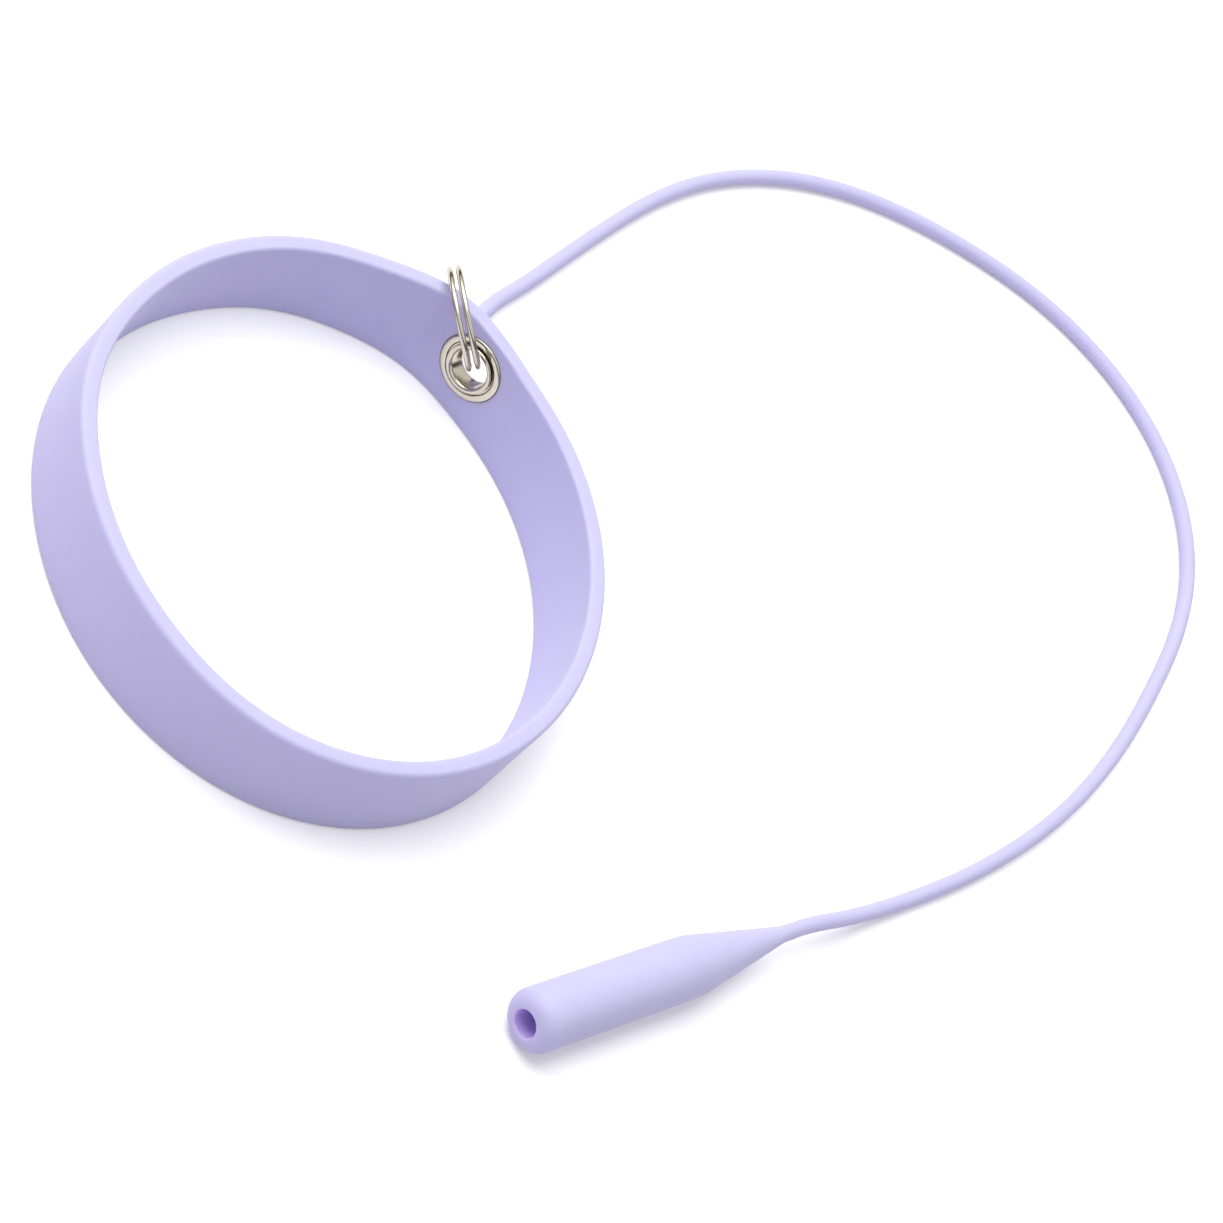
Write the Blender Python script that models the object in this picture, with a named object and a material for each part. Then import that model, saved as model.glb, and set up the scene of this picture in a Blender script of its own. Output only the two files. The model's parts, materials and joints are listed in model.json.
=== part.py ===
"""Silicone wrist tether: an endless band, a two-piece eyelet, a split ring and a corded grip socket.

Metres, +Z up. The origin is on the band's axis, on the surface that the band lies on.
"""

import math

import bmesh
import bpy
import numpy as np
from mathutils import Matrix, Vector

# Wristband: a moulded endless band, drawn out a little along its long axis
BAND_DIAMETER = 0.0643
BAND_WIDTH = 0.012
BAND_WALL = 0.002
BAND_EDGE_ROUND = 0.0004
BAND_OVAL = 0.0013
BAND_OVAL_TURN = math.radians(12.0)
BAND_STEPS = 96
BAND_EDGE_STEPS = 3

# Leans of the soft wall, at its upper and lower rim: pulled out by the ring, then hollow, then bulged
BAND_PULL_TOP = 0.0018
BAND_PULL_BASE = 0.0007
BAND_PULL_TURN = math.radians(9.6)
BAND_PULL_SPREAD = math.radians(12.5)
BAND_HOLLOW_TOP = 0.0002
BAND_HOLLOW_BASE = 0.0006
BAND_HOLLOW_TURN = math.radians(58.8)
BAND_HOLLOW_SPREAD = math.radians(21.0)
BAND_BULGE_TOP = 0.0009
BAND_BULGE_BASE = 0.00026
BAND_BULGE_TURN = math.radians(114.0)
BAND_BULGE_SPREAD = math.radians(23.0)
BAND_LEANS = [
    (BAND_PULL_TURN, BAND_PULL_SPREAD, BAND_PULL_TOP, BAND_PULL_BASE),
    (BAND_HOLLOW_TURN, BAND_HOLLOW_SPREAD, -BAND_HOLLOW_TOP, -BAND_HOLLOW_BASE),
    (BAND_BULGE_TURN, BAND_BULGE_SPREAD, BAND_BULGE_TOP, BAND_BULGE_BASE),
]

# Eyelet: a flanged barrel from outside, rolled over a washer on the inner face
EYELET_TURN = math.radians(36.4)
EYELET_RISE = 0.0007
EYELET_SHEET = 0.00035
EYELET_FLARE = 0.0005
FLANGE_DIAMETER = 0.008
FLANGE_THICKNESS = 0.0004
FLANGE_CROWN = 0.0002
FLANGE_EDGE_ROUND = 0.00018
WASHER_DIAMETER = 0.008
WASHER_THICKNESS = 0.0003
WASHER_CROWN = 0.00025
WASHER_GROOVE = 0.00015
SEAT_DEPTH = 0.0005
FIT_GAP = 0.00015
EYELET_STEPS = 40
FLARE_STEPS = 5
LIP_STEPS = 4
FLANGE_EDGE_STEPS = 3
BRIM_STEPS = 6

# Split ring: two flat turns of round wire joined by a short jog
RING_DIAMETER = 0.0112
RING_WIRE = 0.0007
RING_TURN_GAP = 0.00032
RING_LEAN = math.radians(55.4)
RING_PITCH = math.radians(37.2)
RING_BORE_GAP = 0.0005
RING_ASIDE = 0.00015
RING_JOG = math.radians(50.0)
RING_JOG_START = math.radians(120.0)
RING_STEPS_PER_TURN = 32

# Tether eye: the moulded loop at the near end of the cord, threaded on the ring
EYE_TURN = math.radians(62.0)
EYE_PLAY = 0.0006
EYE_SECTION = 0.0013
EYE_HANG = 0.0003
EYE_HEADING = math.radians(34.0)
EYE_DROP = math.radians(33.0)
NECK_LENGTH = 0.0022
NECK_SWELL = 0.0002
EYE_STEPS = 28
EYE_SECTION_STEPS = 10

# Cord and grip socket
CORD_DIAMETER = 0.0018
CORD_GAP = 0.00035
CORD_POINT_SPACING = 0.0025
CORD_SAMPLES_PER_KNOT = 40
NECK_LEAD = 0.0008
TIP_LEAD = 2 * CORD_DIAMETER
SOCKET_MOUTH_DIAMETER = 0.0073
SOCKET_DIAMETER = 0.007
SOCKET_STRAIGHT = 0.0252
SOCKET_TAPER = 0.0164
SOCKET_BORE = 0.0032
SOCKET_BORE_DEPTH = 0.024
SOCKET_MOUTH_ROUND = 0.0012
SOCKET_BORE_ROUND = 0.0002
SOCKET_SHOULDER_ROUND = 0.016
SOCKET_TIP_ROUND = 0.008
SOCKET_TIP_WALL = 0.0001
SOCKET_TIP = Vector((0.0200, -0.0690, 0.0))
SOCKET_HEADING = math.radians(13.25)
SOCKET_STEPS = 36
BORE_END_STEPS = 4
BORE_EDGE_STEPS = 2
MOUTH_STEPS = 5
SHOULDER_STEPS = 5
TIP_STEPS = 3

# The cord's route over the surface, from the band round to the socket, counted from the eyelet
CORD_LIE = CORD_DIAMETER / 2
CORD_ROUTE = [
    (0.0080, 0.0098, 0.00134),
    (0.0106, 0.0116, 0.00092),
    (0.0159, 0.0143, CORD_LIE),
    (0.0216, 0.0173, CORD_LIE),
    (0.0308, 0.0222, CORD_LIE),
    (0.0394, 0.0263, CORD_LIE),
    (0.0489, 0.0294, CORD_LIE),
    (0.0591, 0.0304, CORD_LIE),
    (0.0689, 0.0291, CORD_LIE),
    (0.0784, 0.0256, CORD_LIE),
    (0.0871, 0.0205, CORD_LIE),
    (0.0946, 0.0143, CORD_LIE),
    (0.1006, 0.0063, CORD_LIE),
    (0.1042, -0.0031, CORD_LIE),
    (0.1046, -0.0130, CORD_LIE),
    (0.1020, -0.0221, CORD_LIE),
    (0.0965, -0.0307, CORD_LIE),
    (0.0895, -0.0380, CORD_LIE),
    (0.0820, -0.0447, CORD_LIE),
    (0.0742, -0.0505, CORD_LIE),
    (0.0657, -0.0555, CORD_LIE),
    (0.0565, -0.0596, CORD_LIE),
    (0.0471, -0.0628, CORD_LIE),
    (0.0378, -0.0652, 0.0011),
    (0.0285, -0.0671, 0.0025),
]

LILAC = (0.62, 0.60, 0.90, 1.0)
NICKEL = (0.66, 0.63, 0.57, 1.0)
BAND_ROUGHNESS = 0.55
TETHER_ROUGHNESS = 0.5
EYELET_ROUGHNESS = 0.2
RING_ROUGHNESS = 0.15
TUBE_RESOLUTION = 2
SHARP_ANGLE = math.radians(35.0)
FLAT_ANGLE = math.radians(0.01)
MERGE_DISTANCE = 1e-7


def clear_scene():
    """Remove every object of the start-up scene."""
    for obj in list(bpy.data.objects):
        bpy.data.objects.remove(obj, do_unlink=True)


def make_material(name, colour, roughness, metallic):
    """A Principled BSDF with one colour."""
    material = bpy.data.materials.new(name)
    material.use_nodes = True
    shader = material.node_tree.nodes["Principled BSDF"]
    shader.inputs["Base Color"].default_value = colour
    shader.inputs["Roughness"].default_value = roughness
    shader.inputs["Metallic"].default_value = metallic
    return material


def add_object(name, data, parent=None, local=None, material=None):
    """Link an object, under its parent, at a place given in the parent's frame."""
    obj = bpy.data.objects.new(name, data)
    bpy.context.collection.objects.link(obj)
    obj.parent = parent
    obj.matrix_local = local or Matrix.Identity(4)
    if material:
        obj.data.materials.append(material)
    return obj


def add_cutter(name, mesh, parent=None, local=None):
    """An object that only shapes another one."""
    obj = add_object(name, mesh, parent, local)
    obj.hide_render = True
    obj.display_type = "WIRE"
    return obj


def add_boolean(target, tool, operation):
    """Cut or join one object with another, live."""
    modifier = target.modifiers.new(tool.name, "BOOLEAN")
    modifier.object = tool
    modifier.operation = operation
    modifier.solver = "EXACT"


def finish_mesh(name, bm):
    """Close the seams, turn the faces outwards and shade the round faces smooth."""
    bmesh.ops.remove_doubles(bm, verts=bm.verts, dist=MERGE_DISTANCE)
    bmesh.ops.recalc_face_normals(bm, faces=bm.faces)
    mesh = bpy.data.meshes.new(name)
    bm.to_mesh(mesh)
    bm.free()
    mesh.shade_smooth()
    mesh.set_sharp_from_angle(angle=SHARP_ANGLE)
    return mesh


def frame_matrix(x_axis, y_axis, z_axis, origin):
    """The matrix that has these three axes at this origin."""
    matrix = Matrix((x_axis, y_axis, z_axis)).transposed().to_4x4()
    matrix.translation = origin
    return matrix


def arc(centre, radius, start_deg, end_deg, steps):
    """Points along an arc in the (radius, height) plane."""
    points = []
    for k in range(steps + 1):
        angle = math.radians(start_deg + (end_deg - start_deg) * k / steps)
        points.append((centre[0] + radius * math.cos(angle), centre[1] + radius * math.sin(angle)))
    return points


def rounded_corner(before, corner, after, radius, steps):
    """Points of the arc that rounds one corner of a profile."""
    corner = Vector(corner)
    to_before = (Vector(before) - corner).normalized()
    to_after = (Vector(after) - corner).normalized()
    half = to_before.angle(to_after) / 2
    reach = radius / math.tan(half)
    centre = corner + (to_before + to_after).normalized() * radius / math.sin(half)
    first = corner + to_before * reach - centre
    last = corner + to_after * reach - centre
    points = []
    for k in range(steps + 1):
        points.append(tuple(centre + first.slerp(last, k / steps).normalized() * radius))
    return points


def turned(name, profile, steps, closed):
    """A solid turned about Z from a profile of (radius, height) points."""
    bm = bmesh.new()
    verts = [bm.verts.new((radius, 0.0, height)) for radius, height in profile]
    edges = [bm.edges.new(pair) for pair in zip(verts, verts[1:])]
    if closed:
        edges.append(bm.edges.new((verts[-1], verts[0])))
    bmesh.ops.spin(bm, geom=verts + edges, cent=(0, 0, 0), axis=(0, 0, 1), angle=2 * math.pi,
                   steps=steps, use_merge=True)
    return finish_mesh(name, bm)


def tube_curve(name, points, diameter):
    """A round tube with filled ends along a list of points."""
    curve = bpy.data.curves.new(name, "CURVE")
    curve.dimensions = "3D"
    curve.bevel_depth = diameter / 2
    curve.bevel_resolution = TUBE_RESOLUTION
    curve.use_fill_caps = True
    spline = curve.splines.new("POLY")
    spline.points.add(len(points) - 1)
    for spline_point, point in zip(spline.points, points):
        spline_point.co = (*point, 1.0)
    spline.use_smooth = True
    return curve


# Band

def band_point(angle, offset, share=0.0):
    """Point at an offset from the middle of the wall, at a share of the band's width, and its normal."""
    from_eyelet = math.remainder(angle - EYELET_TURN, 2 * math.pi)
    swing = 2 * (from_eyelet - BAND_OVAL_TURN)
    radius = BAND_DIAMETER / 2 + BAND_OVAL * math.cos(swing)
    slope = -2 * BAND_OVAL * math.sin(swing)
    for turn, spread, top, base in BAND_LEANS:
        apart = (from_eyelet - turn) / spread
        lean = (base + (top - base) * share) * math.exp(-apart * apart)
        radius += lean
        slope -= 2 * lean * apart / spread
    radial = Vector((math.cos(angle), math.sin(angle), 0.0))
    along = Vector((-math.sin(angle), math.cos(angle), 0.0))
    normal = (radial * radius - along * slope).normalized()
    up = Vector((0.0, 0.0, BAND_WIDTH * share))
    return radial * radius + normal * offset + up, normal


def make_band_mesh():
    """Two walls joined by rims, as four loops of points, with the rims' edges rounded."""
    bm = bmesh.new()
    half = BAND_WALL / 2
    angles = [math.pi * (2 * k / BAND_STEPS - 1) for k in range(BAND_STEPS)]
    loops = []
    for offset, share in ((half, 0.0), (half, 1.0), (-half, 1.0), (-half, 0.0)):
        loops.append([bm.verts.new(band_point(angle, offset, share)[0]) for angle in angles])
    for near, far in zip(loops, loops[1:] + loops[:1]):
        for k in range(BAND_STEPS):
            after = (k + 1) % BAND_STEPS
            bm.faces.new((near[k], near[after], far[after], far[k]))
    bmesh.ops.recalc_face_normals(bm, faces=bm.faces)
    corners = [edge for edge in bm.edges if edge.calc_face_angle() > SHARP_ANGLE]
    bmesh.ops.bevel(bm, geom=corners, offset=BAND_EDGE_ROUND, offset_type="OFFSET",
                    segments=BAND_EDGE_STEPS, profile=0.5, affect="EDGES", material=-1)
    bmesh.ops.connect_verts_nonplanar(bm, angle_limit=FLAT_ANGLE, faces=bm.faces)
    return finish_mesh("wristband", bm)


# Eyelet, with +Z of its frame pointing out of the band, +X along the wall and +Y up

def ring_section_half():
    """Half the width of the two turns, side by side."""
    return RING_WIRE + RING_TURN_GAP / 2


def seat_floor():
    """Distance of each seat's floor from the middle of the wall."""
    return BAND_WALL / 2 - SEAT_DEPTH


def flange_crest():
    """Height of the flange's crest over the middle of the wall."""
    return seat_floor() + FIT_GAP + FLANGE_THICKNESS + FLANGE_CROWN


def lip_underside():
    """Height of the rolled lip's underside, on the inner face."""
    return seat_floor() + FIT_GAP + WASHER_THICKNESS + FIT_GAP


def bore_radius():
    """The bore lets the leaning ring through with its gap, up to where the flare begins."""
    straight = lip_underside() + EYELET_SHEET - EYELET_FLARE
    reach = straight * math.tan(RING_PITCH) + ring_section_half() / math.cos(RING_PITCH)
    return reach + RING_BORE_GAP


def barrel_radius():
    """Outer radius of the barrel."""
    return bore_radius() + EYELET_SHEET


def lip_radius():
    """Outer radius of the rolled lip."""
    return bore_radius() + EYELET_FLARE + EYELET_SHEET / 2


def eyelet_profile():
    """Bore, outer flange, barrel and rolled inner lip, as one closed section."""
    bore = bore_radius()
    turn = bore + EYELET_FLARE
    crest = flange_crest()
    under = seat_floor() + FIT_GAP
    edge = FLANGE_DIAMETER / 2
    edge_top = under + FLANGE_THICKNESS
    lip_under = lip_underside()
    lip_crest = lip_under + EYELET_SHEET
    profile = arc((turn, crest - EYELET_FLARE), EYELET_FLARE, 180, 90, FLARE_STEPS)
    profile += rounded_corner((turn, crest), (edge, edge_top), (edge, under), FLANGE_EDGE_ROUND,
                              FLANGE_EDGE_STEPS)
    profile += [(edge, under), (bore + EYELET_SHEET, under)]
    profile += arc((turn, EYELET_FLARE - lip_crest), EYELET_FLARE - EYELET_SHEET, 180, 270, LIP_STEPS)
    profile += arc((turn, -lip_under - EYELET_SHEET / 2), EYELET_SHEET / 2, 90, -90, LIP_STEPS)[1:]
    profile += arc((turn, EYELET_FLARE - lip_crest), EYELET_FLARE, 270, 180, FLARE_STEPS)[1:]
    return profile


def washer_profile():
    """A flat inner land under the lip, a groove round it and a crowned brim, as one closed section."""
    under = -seat_floor() - FIT_GAP
    land = under - WASHER_THICKNESS
    inner = barrel_radius() + 2 * FIT_GAP
    outer = WASHER_DIAMETER / 2
    brim_inner = lip_radius() + WASHER_GROOVE
    brim_middle = (outer + brim_inner) / 2
    brim_half = (outer - brim_inner) / 2
    profile = [(outer, under), (inner, under), (inner, land)]
    for k in range(BRIM_STEPS + 1):
        angle = math.pi * (1 - k / BRIM_STEPS)
        profile.append((brim_middle + brim_half * math.cos(angle), land - WASHER_CROWN * math.sin(angle)))
    return profile


def seat_profile():
    """What the eyelet's hole and its two seats take out of the wall."""
    hole = barrel_radius() + FIT_GAP
    floor = seat_floor()
    far = 2 * BAND_WALL
    outer_seat = FLANGE_DIAMETER / 2 + FIT_GAP
    inner_seat = WASHER_DIAMETER / 2 + FIT_GAP
    return [(0.0, far), (outer_seat, far), (outer_seat, floor), (hole, floor),
            (hole, -floor), (inner_seat, -floor), (inner_seat, -far), (0.0, -far)]


def eyelet_frame():
    """The eyelet's place: middle of the wall, a little over half way up, square to the leaning wall."""
    middle, level = band_point(EYELET_TURN, 0.0, 0.5 + EYELET_RISE / BAND_WIDTH)
    lean = band_point(EYELET_TURN, 0.0, 1.0)[0] - band_point(EYELET_TURN, 0.0, 0.0)[0]
    along = Vector((0.0, 0.0, 1.0)).cross(level)
    normal = along.cross(lean).normalized()
    return frame_matrix(along, normal.cross(along), normal, middle)


# Split ring

def ring_frame():
    """The ring's centre and axes in the eyelet's frame: +X points at the eyelet, +Z is the ring's axis.

    The ring leans aside over the upper rim, and its outer half is pitched down.
    """
    across = Vector((math.sin(RING_LEAN), math.cos(RING_LEAN), 0.0))
    downhill = Vector((math.cos(RING_LEAN), -math.sin(RING_LEAN), 0.0))
    outward = downhill * math.sin(RING_PITCH) + Vector((0.0, 0.0, math.cos(RING_PITCH)))
    axis = (-across).cross(outward)
    return frame_matrix(-across, outward, axis, across * RING_DIAMETER / 2 - axis * RING_ASIDE)


def ring_point(turned_angle):
    """Point of the wire's middle line, counted from where the wire starts."""
    full_turn = 2 * math.pi
    rise = RING_WIRE + RING_TURN_GAP
    share = min(max((turned_angle - full_turn + RING_JOG) / RING_JOG, 0.0), 1.0)
    eased = share * share * (3 - 2 * share)
    angle = RING_JOG_START + turned_angle
    radius = RING_DIAMETER / 2
    return Vector((radius * math.cos(angle), radius * math.sin(angle), rise * (eased - 0.5)))


def ring_points():
    """Two turns of wire, less the jog, where only one strand crosses over."""
    total = 4 * math.pi - RING_JOG
    steps = round(total / (2 * math.pi) * RING_STEPS_PER_TURN)
    return [ring_point(total * k / steps) for k in range(steps + 1)]


def least_self_gap(points, diameter):
    """Least gap between parts of a tube that are more than three diameters apart along it."""
    array = np.array([tuple(point) for point in points])
    along = np.concatenate([[0.0], np.cumsum(np.linalg.norm(np.diff(array, axis=0), axis=1))])
    apart = np.abs(along[:, None] - along[None, :]) > 3 * diameter
    distance = np.linalg.norm(array[:, None] - array[None, :], axis=2)
    return distance[apart].min() - diameter


# Tether

def eye_hole_radius():
    """The loop's hole lets both turns of the ring through with its play."""
    return ring_section_half() + EYE_PLAY


def eye_pivot(ring):
    """Where the loop hangs on the ring's wire."""
    radius = RING_DIAMETER / 2
    return ring @ Vector((radius * math.cos(EYE_TURN), radius * math.sin(EYE_TURN), 0.0))


def eye_frame(ring):
    """The loop's centre and axes: +X runs into the cord, +Z through the loop's hole."""
    wire = ring.to_3x3() @ Vector((-math.sin(EYE_TURN), math.cos(EYE_TURN), 0.0))
    level = math.cos(EYE_DROP)
    heading = Vector((level * math.cos(EYE_HEADING), level * math.sin(EYE_HEADING), -math.sin(EYE_DROP)))
    through = (wire - heading * wire.dot(heading)).normalized()
    return frame_matrix(heading, through.cross(heading), through, eye_pivot(ring) + heading * EYE_HANG)


def make_loop_mesh():
    """The loop itself: a round section turned about the hole."""
    middle = eye_hole_radius() + EYE_SECTION / 2
    section = arc((middle, 0.0), EYE_SECTION / 2, 0, 360, EYE_SECTION_STEPS)[:-1]
    return turned("tether_eye", section, EYE_STEPS, closed=True)


def neck_reach():
    """Distance from the loop's centre to the neck's end."""
    return eye_hole_radius() + EYE_SECTION + NECK_LENGTH


def make_neck_mesh():
    """The neck between loop and cord, turned about its own length."""
    start = eye_hole_radius() + EYE_SECTION / 2
    swell = CORD_DIAMETER / 2 + NECK_SWELL
    profile = [(0.0, start), (EYE_SECTION / 2, start), (swell, start + EYE_SECTION / 2),
               (swell, start + EYE_SECTION), (CORD_DIAMETER / 2, neck_reach()), (0.0, neck_reach())]
    return turned("neck", profile, EYE_STEPS, closed=False)


def tether_origin():
    """The point of the surface under the eyelet, which the lie of the tether is counted from."""
    return band_point(EYELET_TURN, 0.0)[0]


def socket_frame():
    """The socket lies on the surface: +Z runs from its mouth to its tip."""
    heading = Vector((math.cos(SOCKET_HEADING), math.sin(SOCKET_HEADING), 0.0))
    up = Vector((0.0, 0.0, 1.0))
    tip = tether_origin() + SOCKET_TIP + up * SOCKET_MOUTH_DIAMETER / 2
    mouth = tip - heading * (SOCKET_STRAIGHT + SOCKET_TAPER)
    return frame_matrix(up, heading.cross(up), heading, mouth)


def socket_profile():
    """Blind bore, rounded mouth, a body that slims a little and a taper to the cord, from pole to pole."""
    bore = SOCKET_BORE / 2
    mouth = SOCKET_MOUTH_DIAMETER / 2
    tip = CORD_DIAMETER / 2 + SOCKET_TIP_WALL
    end = SOCKET_STRAIGHT + SOCKET_TAPER
    tip_start = end - CORD_DIAMETER
    shoulder = (SOCKET_DIAMETER / 2, SOCKET_STRAIGHT)
    throat = (tip, tip_start)
    profile = [(0.0, SOCKET_BORE_DEPTH)]
    profile += arc((0.0, SOCKET_BORE_DEPTH - bore), bore, 90, 0, BORE_END_STEPS)[1:]
    profile += rounded_corner((bore, bore), (bore, 0.0), (mouth, 0.0), SOCKET_BORE_ROUND, BORE_EDGE_STEPS)
    profile += rounded_corner((bore, 0.0), (mouth, 0.0), shoulder, SOCKET_MOUTH_ROUND, MOUTH_STEPS)
    profile += rounded_corner((mouth, 0.0), shoulder, throat, SOCKET_SHOULDER_ROUND, SHOULDER_STEPS)
    profile += rounded_corner(shoulder, throat, (tip, end + CORD_DIAMETER), SOCKET_TIP_ROUND, TIP_STEPS)
    profile += [(tip, end), (0.0, end)]
    return profile


def spline_through(points, spacing):
    """Evenly spaced points along the natural cubic spline through the given ones."""
    knots = np.array([tuple(point) for point in points])
    chord = np.concatenate([[0.0], np.cumsum(np.linalg.norm(np.diff(knots, axis=0), axis=1))])
    gaps = np.diff(chord)
    count = len(knots)
    system = np.eye(count)
    known = np.zeros_like(knots)
    for k in range(1, count - 1):
        system[k, k - 1:k + 2] = gaps[k - 1], 2 * (gaps[k - 1] + gaps[k]), gaps[k]
        slopes = np.diff(knots[k - 1:k + 2], axis=0) / gaps[k - 1:k + 1, None]
        known[k] = 6 * (slopes[1] - slopes[0])
    bends = np.linalg.solve(system, known)
    samples = []
    for place in np.linspace(0.0, chord[-1], CORD_SAMPLES_PER_KNOT * count):
        k = min(np.searchsorted(chord, place, side="right") - 1, count - 2)
        after = (place - chord[k]) / gaps[k]
        before = 1 - after
        lift = (before ** 3 - before) * bends[k] + (after ** 3 - after) * bends[k + 1]
        samples.append(before * knots[k] + after * knots[k + 1] + lift * gaps[k] ** 2 / 6)
    samples = np.array(samples)
    along = np.concatenate([[0.0], np.cumsum(np.linalg.norm(np.diff(samples, axis=0), axis=1))])
    even = np.linspace(0.0, along[-1], round(along[-1] / spacing) + 1)
    return np.stack([np.interp(even, along, samples[:, axis]) for axis in range(3)], axis=1)


def cord_points(eye, socket):
    """From the neck's end, along the route on the surface, to the socket's tip."""
    end = SOCKET_STRAIGHT + SOCKET_TAPER
    first = [eye @ Vector((neck_reach() + gap, 0.0, 0.0)) for gap in (CORD_GAP, CORD_GAP + NECK_LEAD)]
    last = [socket @ Vector((0.0, 0.0, end + gap)) for gap in (CORD_GAP + TIP_LEAD, CORD_GAP)]
    route = [tether_origin() + Vector(point) for point in CORD_ROUTE]
    points = spline_through(first + route + last, CORD_POINT_SPACING)
    points[:, 2] = np.maximum(points[:, 2], CORD_LIE)
    return points


def main():
    clear_scene()
    silicone_band = make_material("band_silicone", LILAC, BAND_ROUGHNESS, 0.0)
    silicone_cord = make_material("cord_silicone", LILAC, TETHER_ROUGHNESS, 0.0)
    silicone_socket = make_material("socket_silicone", LILAC, TETHER_ROUGHNESS, 0.0)
    silicone_eye = make_material("eye_silicone", LILAC, TETHER_ROUGHNESS, 0.0)
    eyelet_metal = make_material("eyelet_nickel", NICKEL, EYELET_ROUGHNESS, 1.0)
    washer_metal = make_material("washer_nickel", NICKEL, EYELET_ROUGHNESS, 1.0)
    ring_metal = make_material("ring_nickel", NICKEL, RING_ROUGHNESS, 1.0)

    band = add_object("wristband", make_band_mesh(), material=silicone_band)

    eyelet_place = eyelet_frame()
    eyelet_axis = add_object("eyelet_axis", None, local=eyelet_place)
    seats = add_cutter("eyelet_seats", turned("eyelet_seats", seat_profile(), EYELET_STEPS, closed=False),
                       eyelet_axis)
    add_boolean(band, seats, "DIFFERENCE")
    add_object("eyelet", turned("eyelet", eyelet_profile(), EYELET_STEPS, closed=True),
               eyelet_axis, material=eyelet_metal)
    add_object("eyelet_washer", turned("eyelet_washer", washer_profile(), EYELET_STEPS, closed=True),
               eyelet_axis, material=washer_metal)

    ring_axis = add_object("ring_axis", None, eyelet_axis, ring_frame())
    wire = ring_points()
    add_object("split_ring", tube_curve("split_ring", wire, RING_WIRE), ring_axis, material=ring_metal)
    print(f"Split ring, least gap to itself: {least_self_gap(wire, RING_WIRE) * 1000:.2f} mm")

    ring_place = eyelet_place @ ring_frame()
    eye_place = eye_frame(ring_place)
    pivot = Matrix.Translation(eye_pivot(ring_place))
    tether_axis = add_object("tether_axis", None, local=pivot)
    eye_local = pivot.inverted() @ eye_place
    eye = add_object("tether_eye", make_loop_mesh(), tether_axis, eye_local, silicone_eye)
    along_cord = Matrix.Rotation(math.radians(90.0), 4, "Y")
    neck = add_cutter("neck", make_neck_mesh(), tether_axis, eye_local @ along_cord)
    add_boolean(eye, neck, "UNION")

    socket_place = socket_frame()
    route = [Vector(point) - pivot.translation for point in cord_points(eye_place, socket_place)]
    add_object("tether_cord", tube_curve("tether_cord", route, CORD_DIAMETER), tether_axis,
               material=silicone_cord)
    add_object("grip_socket", turned("grip_socket", socket_profile(), SOCKET_STEPS, closed=False),
               tether_axis, pivot.inverted() @ socket_place, silicone_socket)


main()
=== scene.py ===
"""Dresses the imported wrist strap: silicone band, nickel eyelet, split ring, cord and grip socket."""

import json
import math

import bmesh
import bpy
import numpy as np
from mathutils import Matrix, Vector

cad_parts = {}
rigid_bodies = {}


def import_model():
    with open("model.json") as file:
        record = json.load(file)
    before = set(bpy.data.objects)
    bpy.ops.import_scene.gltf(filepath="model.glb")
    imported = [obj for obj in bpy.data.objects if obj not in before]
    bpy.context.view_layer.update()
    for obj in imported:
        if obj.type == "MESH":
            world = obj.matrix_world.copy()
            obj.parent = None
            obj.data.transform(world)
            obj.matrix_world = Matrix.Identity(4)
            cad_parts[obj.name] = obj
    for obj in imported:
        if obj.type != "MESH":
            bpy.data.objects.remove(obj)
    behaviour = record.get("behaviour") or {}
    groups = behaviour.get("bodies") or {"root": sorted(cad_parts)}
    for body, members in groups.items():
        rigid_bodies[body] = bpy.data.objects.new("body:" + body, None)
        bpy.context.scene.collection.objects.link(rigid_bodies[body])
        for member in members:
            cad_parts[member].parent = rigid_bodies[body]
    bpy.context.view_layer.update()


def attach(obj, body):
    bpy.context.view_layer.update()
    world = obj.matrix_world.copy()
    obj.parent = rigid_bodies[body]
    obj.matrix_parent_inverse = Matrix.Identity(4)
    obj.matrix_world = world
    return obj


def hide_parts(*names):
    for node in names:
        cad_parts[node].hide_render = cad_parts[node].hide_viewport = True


bl_info = {
    "name": "Corded Wrist Strap",
    "version": (1, 0, 0),
    "blender": (4, 5, 0),
    "location": "View3D > Sidebar > Wrist Strap",
    "description": "Models a silicone wrist strap with its eyelet, split ring, cord and socket",
    "category": "Add Mesh",
}

for start_up in list(bpy.data.objects):
    bpy.data.objects.remove(start_up, do_unlink=True)
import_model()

UP = Vector((0.0, 0.0, 1.0))
MERGE_DISTANCE = 1e-7
SHARP_ANGLE = math.radians(38.0)

# Mesh fineness
BAND_STEPS = 384
BAND_WALL_STEPS = 22
BAND_ROUND_STEPS = 7
EYELET_STEPS = 144
EYELET_ARC_STEPS = 12
RING_STEPS_PER_TURN = 120
WIRE_RESOLUTION = 6
WIRE_END_STEPS = 3
WIRE_END_ANGLE = math.radians(60.0)
EYE_STEPS = 96
EYE_SECTION_STEPS = 32
EYE_VOXEL = 0.00011
EYE_SMOOTHING = 14
EYE_SOFTENING = 0.5
CORD_SPACING = 0.0012
CORD_RESOLUTION = 8
CORD_SAMPLES_PER_KNOT = 60
SOCKET_STEPS = 128
SOCKET_ARC_STEPS = 14
CARD_STEPS = 48

# How the eyelet clamps the silicone, in half walls
CLAMPED_HALF = 0.97
CLAMP_REACH = 3.0
FACE_DEPTH = 0.5

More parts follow.
